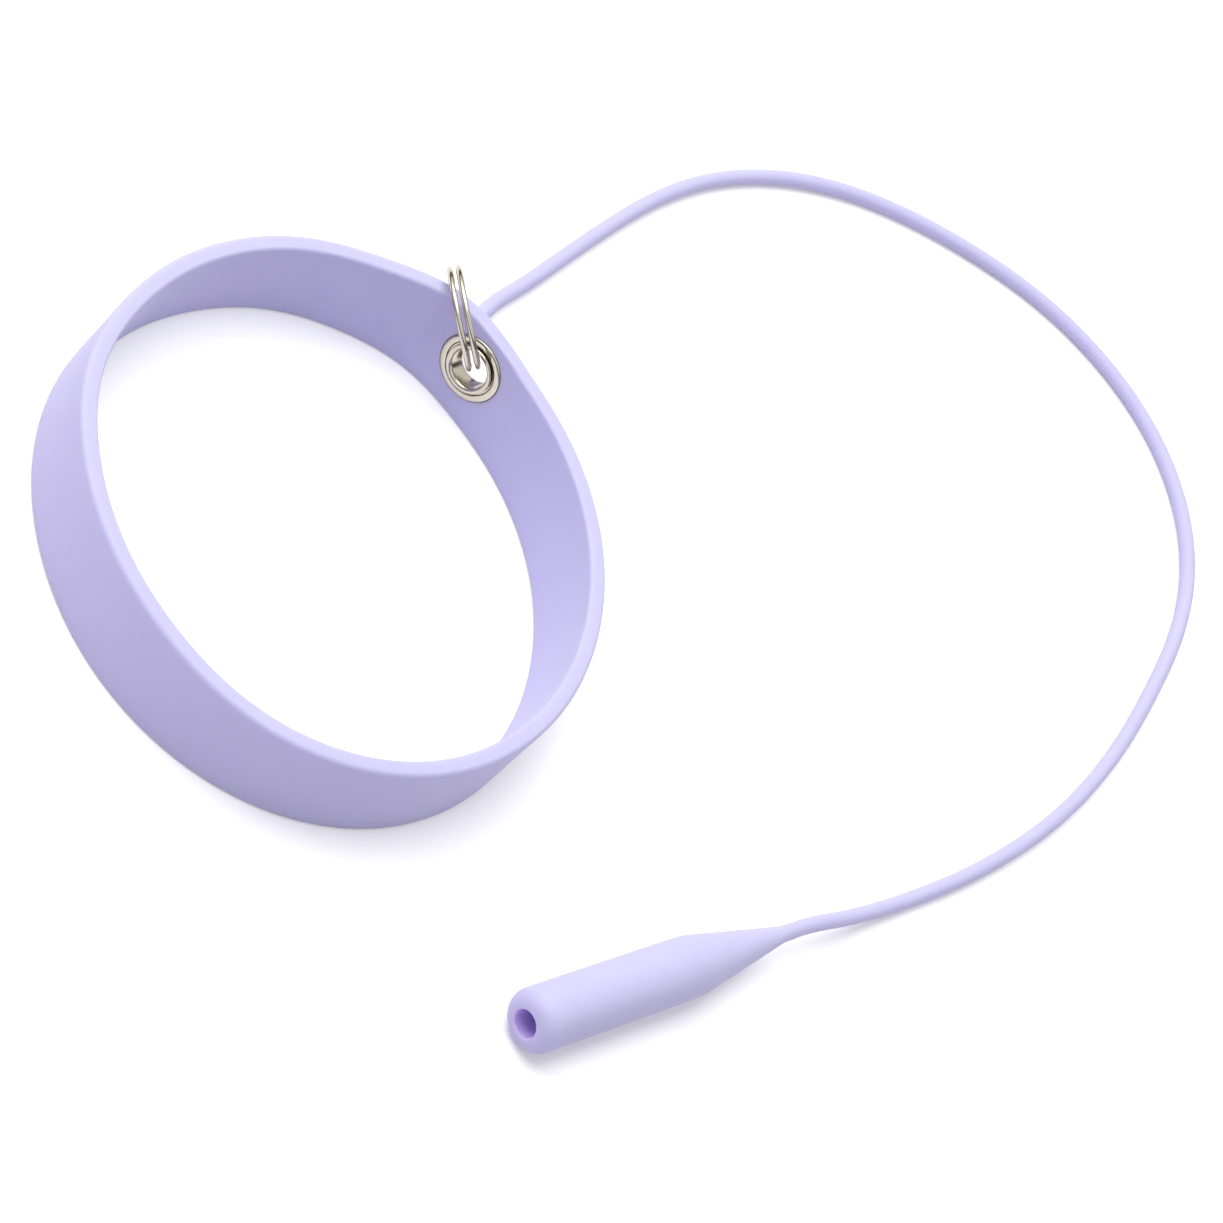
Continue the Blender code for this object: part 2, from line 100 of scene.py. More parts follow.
# Moulded silicone: pattern scales, tones as shares of its colour, depths in metres
CLOUD_SCALE = 55.0
CLOUD_TONES = (0.965, 1.03)
GRAIN_SCALE = 3200.0
GRAIN_ROUGHNESS = (-0.05, 0.06)
GRAIN_RELIEF = 0.12
GRAIN_DEPTH = 0.00004
SPECK_SCALE = 300.0
SPECK_EDGE = (0.03, 0.06)
SPECK_COVER = 0.35
SPECK_TONE = 1.25
SILICONE_IOR = 1.41
SILICONE_SPECULAR = 0.3
SILICONE_SHEEN = 0.08
SILICONE_SOFTNESS = 0.5
SILICONE_DEPTH = 0.0012
SILICONE_DEPTH_SHARES = (0.8, 0.7, 1.0)

# Plated nickel, in the same way
TARNISH_SCALE = 420.0
BRIGHT_TONE = 1.05
TARNISH_TONE = (0.93, 0.9, 0.82)
TARNISH_ROUGHNESS = (0.75, 1.35)
EYELET_LINES = 900.0
RING_LINES = 1400.0
LINE_WANDER = 1.5
LINE_RELIEF = 0.05
LINE_DEPTH = 0.00001
RING_POLISH = 0.8

# Where a noise's values mostly lie, and the sockets of a Mix node for colours
NOISE_RANGE = (0.3, 0.7)
MIX_FACTOR, MIX_FIRST, MIX_SECOND, MIX_RESULT = 0, 6, 7, 2

# Stage
WHITE = (1.0, 1.0, 1.0, 1.0)
FLOOR_REACH = 4.0
FLOOR_DROP = 0.00005
CARD_FOOT = 0.12
SENSOR_WIDTH = 36.0
NEAREST_SEEN = 0.01
FARTHEST_SEEN = 20.0

# The cord's route over the surface, counted from the point under the eyelet
CORD_LIE = 0.0009
CORD_ROUTE = [
    (0.0080, 0.0098, 0.00134),
    (0.0106, 0.0116, 0.00092),
    (0.0159, 0.0143, CORD_LIE),
    (0.0216, 0.0173, CORD_LIE),
    (0.0308, 0.0222, CORD_LIE),
    (0.0394, 0.0263, CORD_LIE),
    (0.0489, 0.0294, CORD_LIE),
    (0.0591, 0.0304, CORD_LIE),
    (0.0689, 0.0291, CORD_LIE),
    (0.0784, 0.0256, CORD_LIE),
    (0.0871, 0.0205, CORD_LIE),
    (0.0946, 0.0143, CORD_LIE),
    (0.1006, 0.0063, CORD_LIE),
    (0.1042, -0.0031, CORD_LIE),
    (0.1046, -0.0130, CORD_LIE),
    (0.1020, -0.0221, CORD_LIE),
    (0.0965, -0.0307, CORD_LIE),
    (0.0895, -0.0380, CORD_LIE),
    (0.0820, -0.0447, CORD_LIE),
    (0.0742, -0.0505, CORD_LIE),
    (0.0657, -0.0555, CORD_LIE),
    (0.0565, -0.0596, CORD_LIE),
    (0.0471, -0.0628, CORD_LIE),
    (0.0378, -0.0652, 0.0011),
    (0.0285, -0.0673, 0.0025),
]


# Settings that a user would change

def length(name, description, default):
    """A size in metres."""
    return bpy.props.FloatProperty(name=name, description=description, default=default, min=0.0,
                                   precision=5, subtype="DISTANCE", unit="LENGTH")


def angle(name, description, degrees):
    """An angle, written in degrees."""
    return bpy.props.FloatProperty(name=name, description=description, default=math.radians(degrees),
                                   subtype="ANGLE", unit="ROTATION")


def amount(name, description, default, high=1.0):
    """A plain number from 0 up."""
    return bpy.props.FloatProperty(name=name, description=description, default=default, min=0.0,
                                   max=high, precision=3, subtype="FACTOR")


def colour(name, description, default):
    """A linear colour."""
    return bpy.props.FloatVectorProperty(name=name, description=description, default=default, size=3,
                                         min=0.0, max=1.0, subtype="COLOR")


def place(name, description, default):
    """A point in the part's frame."""
    return bpy.props.FloatVectorProperty(name=name, description=description, default=default, size=3,
                                         precision=5, subtype="TRANSLATION", unit="LENGTH")


class StrapBandSettings(bpy.types.PropertyGroup):
    """Sizes and finish of the moulded band."""

    diameter: length("Diameter", "Mean diameter of the wall's middle", 0.0643)
    width: length("Width", "Height of the band as it lies", 0.012)
    wall: length("Wall", "Thickness of the wall", 0.002)
    edge_round: length("Edge Round", "Radius of the rims' edges", 0.0004)
    brow_round: length("Brow Round", "Radius of the upper rim's outer edge", 0.0006)
    oval: length("Oval", "How far the band is drawn out of round", 0.0013)
    oval_turn: angle("Oval Turn", "From the eyelet to the long axis", 12.0)
    pull_top: length("Pull at Top", "How far the ring pulls the upper rim out", 0.0018)
    pull_base: length("Pull at Base", "How far the ring pulls the lower rim out", 0.0007)
    pull_turn: angle("Pull Turn", "From the eyelet to the middle of the pull", 9.6)
    pull_spread: angle("Pull Spread", "How far round the pull reaches", 12.5)
    hollow_top: length("Hollow at Top", "How far the upper rim leans in past the pull", 0.0002)
    hollow_base: length("Hollow at Base", "How far the lower rim leans in past the pull", 0.0006)
    hollow_turn: angle("Hollow Turn", "From the eyelet to the middle of the hollow", 58.8)
    hollow_spread: angle("Hollow Spread", "How far round the hollow reaches", 21.0)
    bulge_top: length("Bulge at Top", "How far the upper rim leans out past the hollow", 0.0009)
    bulge_base: length("Bulge at Base", "How far the lower rim leans out past the hollow", 0.00026)
    bulge_turn: angle("Bulge Turn", "From the eyelet to the middle of the bulge", 114.0)
    bulge_spread: angle("Bulge Spread", "How far round the bulge reaches", 23.0)
    flat_top: length("Flat at Top", "How far the upper rim leans in across from the eyelet", 0.0004)
    flat_turn: angle("Flat Turn", "From the eyelet to the middle of the flat", 171.6)
    flat_spread: angle("Flat Spread", "How far round the flat reaches", 18.0)
    colour: colour("Silicone", "Colour of the silicone, band and tether alike", (0.605, 0.590, 0.850))
    roughness: amount("Roughness", "Roughness of the moulded silicone", 0.55)


class StrapEyeletSettings(bpy.types.PropertyGroup):
    """Sizes and finish of the eyelet and its washer."""

    turn: angle("Turn", "Where the eyelet is, round from +X", 36.4)
    rise: length("Rise", "Height of the eyelet over the middle of the band", 0.0007)
    sheet: length("Sheet", "Thickness of the metal", 0.00035)
    flare: length("Flare", "Radius that the bore opens out on", 0.0005)
    flange_diameter: length("Flange Diameter", "Outer flange", 0.008)
    flange_thickness: length("Flange Thickness", "Edge of the outer flange", 0.0004)
    flange_crown: length("Flange Crown", "Rise of the flange from edge to bore", 0.0002)
    flange_round: length("Flange Round", "Radius of the flange's edge", 0.00018)
    washer_diameter: length("Washer Diameter", "Washer on the inner face", 0.008)
    washer_thickness: length("Washer Thickness", "Flat land under the rolled lip", 0.0003)
    washer_crown: length("Washer Crown", "Rise of the washer's brim", 0.00025)
    washer_groove: length("Washer Groove", "Groove between the lip and the brim", 0.00015)
    seat_depth: length("Seat Depth", "How deep flange and washer sit in the wall", 0.0005)
    fit_gap: length("Fit Gap", "Gap between metal and metal, and metal and silicone", 0.00015)
    settle: length("Settle", "Reach of the flattened silicone round the brim", 0.0032)
    colour: colour("Nickel", "Colour of the plated metal", (0.55, 0.52, 0.45))
    roughness: amount("Roughness", "Roughness of the plated metal", 0.2)


class StrapRingSettings(bpy.types.PropertyGroup):
    """Sizes of the split ring."""

    diameter: length("Diameter", "Middle of the wire, across the ring", 0.0112)
    wire: length("Wire", "Diameter of the wire", 0.0007)
    turn_gap: length("Turn Gap", "Gap between the two turns", 0.00032)
    lean: angle("Lean", "How far the ring leans aside in the eyelet", 55.4)
    pitch: angle("Pitch", "How far the ring's outer half is tipped down", 37.2)
    bore_gap: length("Bore Gap", "Gap between the ring and the bore", 0.0005)
    aside: length("Aside", "How far the ring sits off the bore's middle", 0.00015)
    jog: angle("Jog", "Length of the strand that crosses over", 50.0)
    jog_start: angle("Jog Start", "Where the wire starts", 120.0)
    end_round: length("End Round", "Radius of the wire's cut ends", 0.00012)


class StrapTetherSettings(bpy.types.PropertyGroup):
    """Sizes of the loop, the cord and the grip socket."""

    eye_turn: angle("Loop Turn", "Where the loop hangs on the ring", 62.0)
    eye_play: length("Loop Play", "Play between the loop and the ring", 0.0006)
    eye_section: length("Loop Section", "Thickness of the loop", 0.0013)
    eye_hang: length("Loop Hang", "How far the loop's centre hangs off the wire", 0.0003)
    eye_heading: angle("Loop Heading", "Direction in which the cord leaves", 34.0)
    eye_drop: angle("Loop Drop", "How steeply the cord leaves", 33.0)
    neck_length: length("Neck Length", "Neck between loop and cord", 0.0022)
    neck_swell: length("Neck Swell", "How much thicker the neck is than the cord", 0.0002)
    cord_diameter: length("Cord Diameter", "Diameter of the cord", 0.0018)
    cord_gap: length("Cord Gap", "Where the cord's solid starts, past the neck", 0.00035)
    neck_lead: length("Neck Lead", "Straight run of the cord out of the neck", 0.0008)
    tip_lead: length("Tip Lead", "Straight run of the cord into the socket", 0.0005)
    cord_seat: length("Cord Seat", "How far the cord runs into neck and socket", 0.0008)
    mouth_diameter: length("Mouth Diameter", "Body of the socket at its mouth", 0.0073)
    socket_diameter: length("Socket Diameter", "Body of the socket at its shoulder", 0.007)
    socket_straight: length("Socket Straight", "Length of the straight body", 0.0252)
    socket_taper: length("Socket Taper", "Length of the taper", 0.0164)
    socket_bore: length("Socket Bore", "Diameter of the blind bore", 0.0032)
    # Painted glow: a colour painted into the bore that stands for light coming through the silicone
    # walls and bouncing inside
    painted_bore_glow: colour("Painted Bore Glow", "Light that comes through the walls into the bore",
                        (0.68, 0.56, 1.0))
    socket_depth: length("Socket Depth", "Depth of the blind bore", 0.024)
    mouth_round: length("Mouth Round", "Radius of the mouth's outer edge", 0.0018)
    bore_round: length("Bore Round", "Radius of the bore's edge", 0.0002)
    shoulder_round: length("Shoulder Round", "Radius between body and taper", 0.016)
    tip_round: length("Tip Round", "Radius between taper and tip", 0.008)
    tip_wall: length("Tip Wall", "Wall at the socket's tip", 0.00003)
    socket_tip: place("Socket Tip", "Tip of the socket, from the point under the eyelet",
                      (0.0200, -0.0690, 0.0))
    socket_heading: angle("Socket Heading", "Direction from mouth to tip", 13.25)


class StrapStageSettings(bpy.types.PropertyGroup):
    """Floor, light and camera."""

    floor_colour: colour("Floor", "Colour of the floor as it is seen", (1.0, 1.0, 1.0))
    floor_bounce: colour("Floor Bounce", "Colour of the light that the floor throws back",
                         (0.765, 0.70, 0.82))
    floor_glow: amount("Floor Glow", "How far the seen floor's own white lifts the shadow on it", 0.2)
    card_colour: colour("Card", "Colour of the dark cards that the metal reflects", (0.05, 0.05, 0.045))
    card_distance: length("Card Distance", "How far the dark cards stand from the part", 0.55)
    card_height: length("Card Height", "Upper edge of the dark cards", 0.20)
    ambient: amount("Ambient", "Strength of the even light all round", 0.45, 2.0)
    key: bpy.props.FloatProperty(name="Key", description="Power of the large overhead lamp",
                                 default=16.6, min=0.0, unit="POWER")
    key_size: length("Key Size", "Side of the overhead lamp", 1.3)
    key_place: place("Key Place", "Where the overhead lamp hangs", (-0.20, 0.435, 1.152))
    camera_place: place("Camera Place", "Where the camera stands", (-0.45559, -0.30895, 0.55020))
    camera_target: place("Camera Target", "Point in the middle of the picture", (0.04065, -0.00723, 0.0))
    camera_roll: angle("Camera Roll", "How far the camera is rolled about its axis", -48.163)
    camera_lens: bpy.props.FloatProperty(name="Camera Lens", description="Focal length of the camera",
                                         default=212.478, min=1.0, unit="CAMERA")


# Meshes

def frame_matrix(x_axis, y_axis, z_axis, origin):
    """The matrix that has these three axes at this origin."""
    matrix = Matrix((x_axis, y_axis, z_axis)).transposed().to_4x4()
    matrix.translation = origin
    return matrix


def smoothstep(value):
    """Eases from 0 to 1."""
    share = min(max(value, 0.0), 1.0)
    return share * share * (3 - 2 * share)


def arc(centre, radius, start_deg, end_deg, steps):
    """Points along an arc in a profile's plane."""
    points = []
    for k in range(steps + 1):
        turn = math.radians(start_deg + (end_deg - start_deg) * k / steps)
        points.append((centre[0] + radius * math.cos(turn), centre[1] + radius * math.sin(turn)))
    return points


def rounded_corner(before, corner, after, radius, steps):
    """Points of the arc that rounds one corner of a profile."""
    corner = Vector(corner)
    to_before = (Vector(before) - corner).normalized()
    to_after = (Vector(after) - corner).normalized()
    half = to_before.angle(to_after) / 2
    reach = radius / math.tan(half)
    centre = corner + (to_before + to_after).normalized() * radius / math.sin(half)
    first = corner + to_before * reach - centre
    last = corner + to_after * reach - centre
    points = []
    for k in range(steps + 1):
        points.append(tuple(centre + first.slerp(last, k / steps).normalized() * radius))
    return points


def stretch(start, end, steps):
    """Inner points of a straight stretch of a profile."""
    points = []
    for k in range(1, steps):
        share = k / steps
        points.append((start[0] + (end[0] - start[0]) * share, start[1] + (end[1] - start[1]) * share))
    return points


def turned(profile, steps, closed):
    """A bmesh turned about Z from a profile of (radius, height) points."""
    bm = bmesh.new()
    verts = [bm.verts.new((radius, 0.0, height)) for radius, height in profile]
    edges = [bm.edges.new(pair) for pair in zip(verts, verts[1:])]
    if closed:
        edges.append(bm.edges.new((verts[-1], verts[0])))
    bmesh.ops.spin(bm, geom=verts + edges, cent=(0, 0, 0), axis=(0, 0, 1), angle=2 * math.pi,
                   steps=steps, use_merge=True)
    close_up(bm)
    return bm


def close_up(bm):
    """Merge the seam and the poles, and turn the faces outwards."""
    bmesh.ops.remove_doubles(bm, verts=bm.verts, dist=MERGE_DISTANCE)
    bmesh.ops.recalc_face_normals(bm, faces=bm.faces)


def new_object(name, data):
    """Link an object at the origin."""
    obj = bpy.data.objects.new(name, data)
    bpy.context.scene.collection.objects.link(obj)
    return obj


def mesh_object(name, bm, place_there=None):
    """An object from a bmesh, put in its place and shaded smooth but for its sharp edges."""
    if place_there is not None:
        bmesh.ops.transform(bm, matrix=place_there, verts=bm.verts)
    mesh = bpy.data.meshes.new(name)
    bm.to_mesh(mesh)
    bm.free()
    shade(mesh)
    return new_object(name, mesh)


def shade(mesh):
    """Smooth shading, with sharp edges kept."""
    mesh.shade_smooth()
    mesh.set_sharp_from_angle(angle=SHARP_ANGLE)


def settle_modifiers(obj):
    """Replace an object's mesh or curve by what its modifiers make of it."""
    graph = bpy.context.evaluated_depsgraph_get()
    mesh = bpy.data.meshes.new_from_object(obj.evaluated_get(graph), depsgraph=graph)
    obj.modifiers.clear()
    obj.data = mesh
    shade(mesh)


def combine(obj, tool, operation):
    """Cut or join an object with another one, which is used up."""
    modifier = obj.modifiers.new(tool.name, "BOOLEAN")
    modifier.object = tool
    modifier.operation = operation
    modifier.solver = "EXACT"
    settle_modifiers(obj)
    bpy.data.objects.remove(tool, do_unlink=True)


def curve_object(name, points, diameter, resolution):
    """A round curve with filled ends along a list of points."""
    curve = bpy.data.curves.new(name, "CURVE")
    curve.dimensions = "3D"
    curve.bevel_depth = diameter / 2
    curve.bevel_resolution = resolution
    curve.use_fill_caps = True
    spline = curve.splines.new("POLY")
    spline.points.add(len(points) - 1)
    for spline_point, point in zip(spline.points, points):
        spline_point.co = (*point, 1.0)
    spline.use_smooth = True
    return new_object(name, curve)


def hand_over(obj, material, body, node):
    """Give a finished piece its material and its body, and hide the CAD node that it stands for."""
    obj.data.materials.clear()
    obj.data.materials.append(material)
    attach(obj, body)
    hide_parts(node)


# Places, as in the part's source, with one lean more

def band_leans(band):
    """Leans of the soft wall: turn from the eyelet, spread, and how far out upper and lower rim go."""
    return ((band.pull_turn, band.pull_spread, band.pull_top, band.pull_base),
            (band.hollow_turn, band.hollow_spread, -band.hollow_top, -band.hollow_base),
            (band.bulge_turn, band.bulge_spread, band.bulge_top, band.bulge_base),
            (band.flat_turn, band.flat_spread, -band.flat_top, 0.0))


def band_point(scene, turn, offset, share=0.0):
    """Point at an offset from the middle of the wall, at a share of the band's width, and its normal."""
    band = scene.strap_band
    from_eyelet = turn - scene.strap_eyelet.turn
    swing = 2 * (from_eyelet - band.oval_turn)
    radius = band.diameter / 2 + band.oval * math.cos(swing)
    slope = -2 * band.oval * math.sin(swing)
    for middle, spread, top, base in band_leans(band):
        apart = math.remainder(from_eyelet - middle, 2 * math.pi) / spread
        lean = (base + (top - base) * share) * math.exp(-apart * apart)
        radius += lean
        slope -= 2 * lean * apart / spread
    radial = Vector((math.cos(turn), math.sin(turn), 0.0))
    along = Vector((-math.sin(turn), math.cos(turn), 0.0))
    normal = (radial * radius - along * slope).normalized()
    return radial * radius + normal * offset + UP * band.width * share, normal


def eyelet_frame(scene):
    """The eyelet's place, square to the leaning wall: +Z points out, +X along the wall, +Y up."""
    turn = scene.strap_eyelet.turn
    share = 0.5 + scene.strap_eyelet.rise / scene.strap_band.width
    middle, level = band_point(scene, turn, 0.0, share)
    lean = band_point(scene, turn, 0.0, 1.0)[0] - band_point(scene, turn, 0.0, 0.0)[0]
    along = UP.cross(level)
    normal = along.cross(lean).normalized()
    return frame_matrix(along, normal.cross(along), normal, middle)


def ring_frame(scene):
    """The ring's centre and axes: +X points at the eyelet, +Z is the ring's axis."""
    ring = scene.strap_ring
    across = Vector((math.sin(ring.lean), math.cos(ring.lean), 0.0))
    downhill = Vector((math.cos(ring.lean), -math.sin(ring.lean), 0.0))
    outward = downhill * math.sin(ring.pitch) + UP * math.cos(ring.pitch)
    axis = (-across).cross(outward)
    local = frame_matrix(-across, outward, axis, across * ring.diameter / 2 - axis * ring.aside)
    return eyelet_frame(scene) @ local


def ring_section_half(scene):
    """Half the width of the two turns, side by side."""
    return scene.strap_ring.wire + scene.strap_ring.turn_gap / 2


def eye_hole_radius(scene):
    """The loop's hole lets both turns of the ring through with its play."""
    return ring_section_half(scene) + scene.strap_tether.eye_play


def eye_frame(scene):
    """The loop's centre and axes: +X runs into the cord, +Z through the loop's hole."""
    tether = scene.strap_tether
    ring = ring_frame(scene)
    radius = scene.strap_ring.diameter / 2
    turn = tether.eye_turn
    pivot = ring @ Vector((radius * math.cos(turn), radius * math.sin(turn), 0.0))
    wire = ring.to_3x3() @ Vector((-math.sin(turn), math.cos(turn), 0.0))
    level = math.cos(tether.eye_drop)
    heading = Vector((level * math.cos(tether.eye_heading), level * math.sin(tether.eye_heading),
                      -math.sin(tether.eye_drop)))
    through = (wire - heading * wire.dot(heading)).normalized()
    return frame_matrix(heading, through.cross(heading), through, pivot + heading * tether.eye_hang)


def neck_reach(scene):
    """Distance from the loop's centre to the neck's end."""
    tether = scene.strap_tether
    return eye_hole_radius(scene) + tether.eye_section + tether.neck_length


def tether_origin(scene):
    """The point of the surface under the eyelet, which the lie of the tether is counted from."""
    return band_point(scene, scene.strap_eyelet.turn, 0.0)[0]


def socket_length(scene):
    """Length of the socket, from its mouth to its tip."""
    return scene.strap_tether.socket_straight + scene.strap_tether.socket_taper


def socket_frame(scene):
    """The socket lies on the surface: +Z runs from its mouth to its tip."""
    tether = scene.strap_tether
    heading = Vector((math.cos(tether.socket_heading), math.sin(tether.socket_heading), 0.0))
    tip = tether_origin(scene) + Vector(tether.socket_tip) + UP * tether.mouth_diameter / 2
    return frame_matrix(UP, heading.cross(UP), heading, tip - heading * socket_length(scene))


# Materials

def new_material(name):
    """An empty node tree with a Principled BSDF and its output."""
    material = bpy.data.materials.new(name)
    material.use_nodes = True
    return material, material.node_tree, material.node_tree.nodes["Principled BSDF"]


def set_inputs(node, **inputs):
    """Set a node's inputs by name, with _ for a space."""
    for name, value in inputs.items():
        node.inputs[name.replace("_", " ")].default_value = value


def add_node(tree, kind, at, **inputs):
    """A node with its inputs set by name."""
    node = tree.nodes.new(kind)
    node.location = at
    set_inputs(node, **inputs)
    return node


def mixed(tree, at, factor, first, second):
    """A colour mix: each of the three is a socket, or a colour or number."""
    node = add_node(tree, "ShaderNodeMix", at)
    node.data_type = "RGBA"
    for index, value in ((MIX_FACTOR, factor), (MIX_FIRST, first), (MIX_SECOND, second)):
        if isinstance(value, bpy.types.NodeSocket):
            tree.links.new(value, node.inputs[index])
        else:
            node.inputs[index].default_value = value
    return node.outputs[MIX_RESULT]


def calculated(tree, at, operation, first, second):
    """One number worked out from two."""
    node = add_node(tree, "ShaderNodeMath", at)
    node.operation = operation
    tree.links.new(first, node.inputs[0])
    tree.links.new(second, node.inputs[1])
    return node.outputs[0]


def ranged(tree, at, value, low, high, to_low, to_high):
    """A number moved from one range to another."""
    node = add_node(tree, "ShaderNodeMapRange", at)
    for index, number in enumerate((low, high, to_low, to_high), start=1):
        node.inputs[index].default_value = number
    tree.links.new(value, node.inputs[0])
    return node.outputs[0]


def seen_directly(tree, at):
    """1 for what the camera sees, straight or in a reflection, and 0 for light that falls on things."""
    path = add_node(tree, "ShaderNodeLightPath", at)
    seen = path.outputs["Is Camera Ray"]
    for k, name in enumerate(("Is Glossy Ray", "Is Transmission Ray"), start=1):
        seen = calculated(tree, (at[0] + 180 * k, at[1]), "MAXIMUM", seen, path.outputs[name])
    return seen


def add_relief(tree, shader, height, strength, depth):
    """Give a shader's surface a fine relief."""
    bump = add_node(tree, "ShaderNodeBump", (-380, -260), Strength=strength, Distance=depth)
    tree.links.new(height, bump.inputs["Height"])
    tree.links.new(bump.outputs["Normal"], shader.inputs["Normal"])


def scaled(colour_value, share):
    """A colour made lighter or darker, with full alpha."""
    return (*[min(part * share, 1.0) for part in colour_value], 1.0)


def centred_on(tree, at, coords, axes):
    """The coordinates counted from another origin, along its axes."""
    centred = add_node(tree, "ShaderNodeMapping", at)
    centred.vector_type = "TEXTURE"
    set_inputs(centred, Location=axes.translation, Rotation=axes.to_euler())
    tree.links.new(coords, centred.inputs["Vector"])
    return centred.outputs["Vector"]


def in_bore(scene, tree, coords):
    """1 inside the socket's bore, where its glow is painted, and 0 outside it."""
    tether = scene.strap_tether
    parts = add_node(tree, "ShaderNodeSeparateXYZ", (-1000, 900))
    tree.links.new(centred_on(tree, (-1200, 900), coords, socket_frame(scene)), parts.inputs[0])
    across = add_node(tree, "ShaderNodeCombineXYZ", (-820, 900))
    for axis in ("X", "Y"):
        tree.links.new(parts.outputs[axis], across.inputs[axis])
    radius = add_node(tree, "ShaderNodeVectorMath", (-640, 900))
    radius.operation = "LENGTH"
    tree.links.new(across.outputs[0], radius.inputs[0])
    bore = tether.socket_bore / 2
    depth = tether.socket_depth
    edge = tether.bore_round
    near_axis = ranged(tree, (-460, 900), radius.outputs["Value"], bore, bore + edge, 1.0, 0.0)
    in_depth = ranged(tree, (-460, 700), parts.outputs["Z"], depth, depth + edge, 1.0, 0.0)
    return calculated(tree, (-260, 800), "MULTIPLY", near_axis, in_depth)


def silicone(scene, name, paint_bore_glow=False):
    """Moulded silicone: a soft matt skin with faint cloudiness, fine grain and a few dust specks, and
    when asked a painted glow in the bore for light that comes through the walls.
    """
    band = scene.strap_band
    material, tree, shader = new_material(name)
    coords = add_node(tree, "ShaderNodeTexCoord", (-1200, 0)).outputs["Object"]
    cloud = add_node(tree, "ShaderNodeTexNoise", (-980, 220), Scale=CLOUD_SCALE, Detail=3.0)
    grain = add_node(tree, "ShaderNodeTexNoise", (-980, -120), Scale=GRAIN_SCALE, Detail=2.0)
    specks = add_node(tree, "ShaderNodeTexVoronoi", (-980, 520), Scale=SPECK_SCALE)
    for node in (cloud, grain, specks):
        tree.links.new(coords, node.inputs["Vector"])
    tones = [scaled(band.colour, share) for share in CLOUD_TONES]
    clouded = mixed(tree, (-640, 220), cloud.outputs["Fac"], *tones)
    dust = ranged(tree, (-640, 520), specks.outputs["Distance"], *SPECK_EDGE, SPECK_COVER, 0.0)
    skin = mixed(tree, (-380, 320), dust, clouded, scaled(band.colour, SPECK_TONE))
    # Painted glow: inside the bore the skin's colour gives way to the painted glow of light through the
    # walls
    if paint_bore_glow:
        bore = in_bore(scene, tree, coords)
        skin = mixed(tree, (-80, 500), bore, skin, (*scene.strap_tether.painted_bore_glow, 1.0))
    tree.links.new(skin, shader.inputs["Base Color"])
    gloss = [band.roughness + step for step in GRAIN_ROUGHNESS]
    rough = ranged(tree, (-640, -60), grain.outputs["Fac"], *NOISE_RANGE, *gloss)
    tree.links.new(rough, shader.inputs["Roughness"])
    add_relief(tree, shader, grain.outputs["Fac"], GRAIN_RELIEF, GRAIN_DEPTH)
    set_inputs(shader, IOR=SILICONE_IOR, Specular_IOR_Level=SILICONE_SPECULAR,
               Subsurface_Weight=SILICONE_SOFTNESS, Subsurface_Radius=SILICONE_DEPTH_SHARES,
               Subsurface_Scale=SILICONE_DEPTH, Sheen_Weight=SILICONE_SHEEN)
    return material


def nickel(scene, name, roughness, axes, line_scale):
    """Bright plated metal: fine polishing lines about an axis, faint warm tarnish and uneven gloss."""
    eyelet = scene.strap_eyelet
    material, tree, shader = new_material(name)
    coords = add_node(tree, "ShaderNodeTexCoord", (-1400, 0)).outputs["Object"]
    centred = centred_on(tree, (-1200, 0), coords, axes)
    tarnish = add_node(tree, "ShaderNodeTexNoise", (-980, 260), Scale=TARNISH_SCALE, Detail=4.0)
    lines = add_node(tree, "ShaderNodeTexWave", (-980, -200), Scale=line_scale,
                     Distortion=LINE_WANDER, Detail=2.0)
    lines.wave_type = "RINGS"
    lines.rings_direction = "Z"
    for node in (tarnish, lines):
        tree.links.new(centred, node.inputs["Vector"])
    warm = (*[part * share for part, share in zip(eyelet.colour, TARNISH_TONE)], 1.0)
    plate = mixed(tree, (-620, 260), tarnish.outputs["Fac"], scaled(eyelet.colour, BRIGHT_TONE), warm)
    tree.links.new(plate, shader.inputs["Base Color"])
    gloss = [roughness * share for share in TARNISH_ROUGHNESS]
    rough = ranged(tree, (-620, -20), tarnish.outputs["Fac"], *NOISE_RANGE, *gloss)
    tree.links.new(rough, shader.inputs["Roughness"])
    add_relief(tree, shader, lines.outputs["Fac"], LINE_RELIEF, LINE_DEPTH)
    set_inputs(shader, Metallic=1.0)
    return material


# Pieces

def band_section(scene):
    """The band's section, as (offset from the middle of the wall, height), round its soft edges."""
    band = scene.strap_band
    half = band.wall / 2
    edge = band.edge_round
    brow = band.brow_round
    top = band.width
    points = arc((half - edge, edge), edge, -90, 0, BAND_ROUND_STEPS)
    points += stretch((half, edge), (half, top - brow), BAND_WALL_STEPS)
    points += arc((half - brow, top - brow), brow, 0, 90, BAND_ROUND_STEPS)
    points += arc((edge - half, top - edge), edge, 90, 180, BAND_ROUND_STEPS)
    points += stretch((-half, top - edge), (-half, edge), BAND_WALL_STEPS)
    points += arc((edge - half, edge), edge, 180, 270, BAND_ROUND_STEPS)
    return points


def lay_out_oval(scene, bm):
    """Draw the round band out to its oval, with its leans."""
    middle = scene.strap_band.diameter / 2
    for vert in bm.verts:
        turn = math.atan2(vert.co.y, vert.co.x)
        offset = math.hypot(vert.co.x, vert.co.y) - middle
        vert.co = band_point(scene, turn, offset, vert.co.z / scene.strap_band.width)[0]


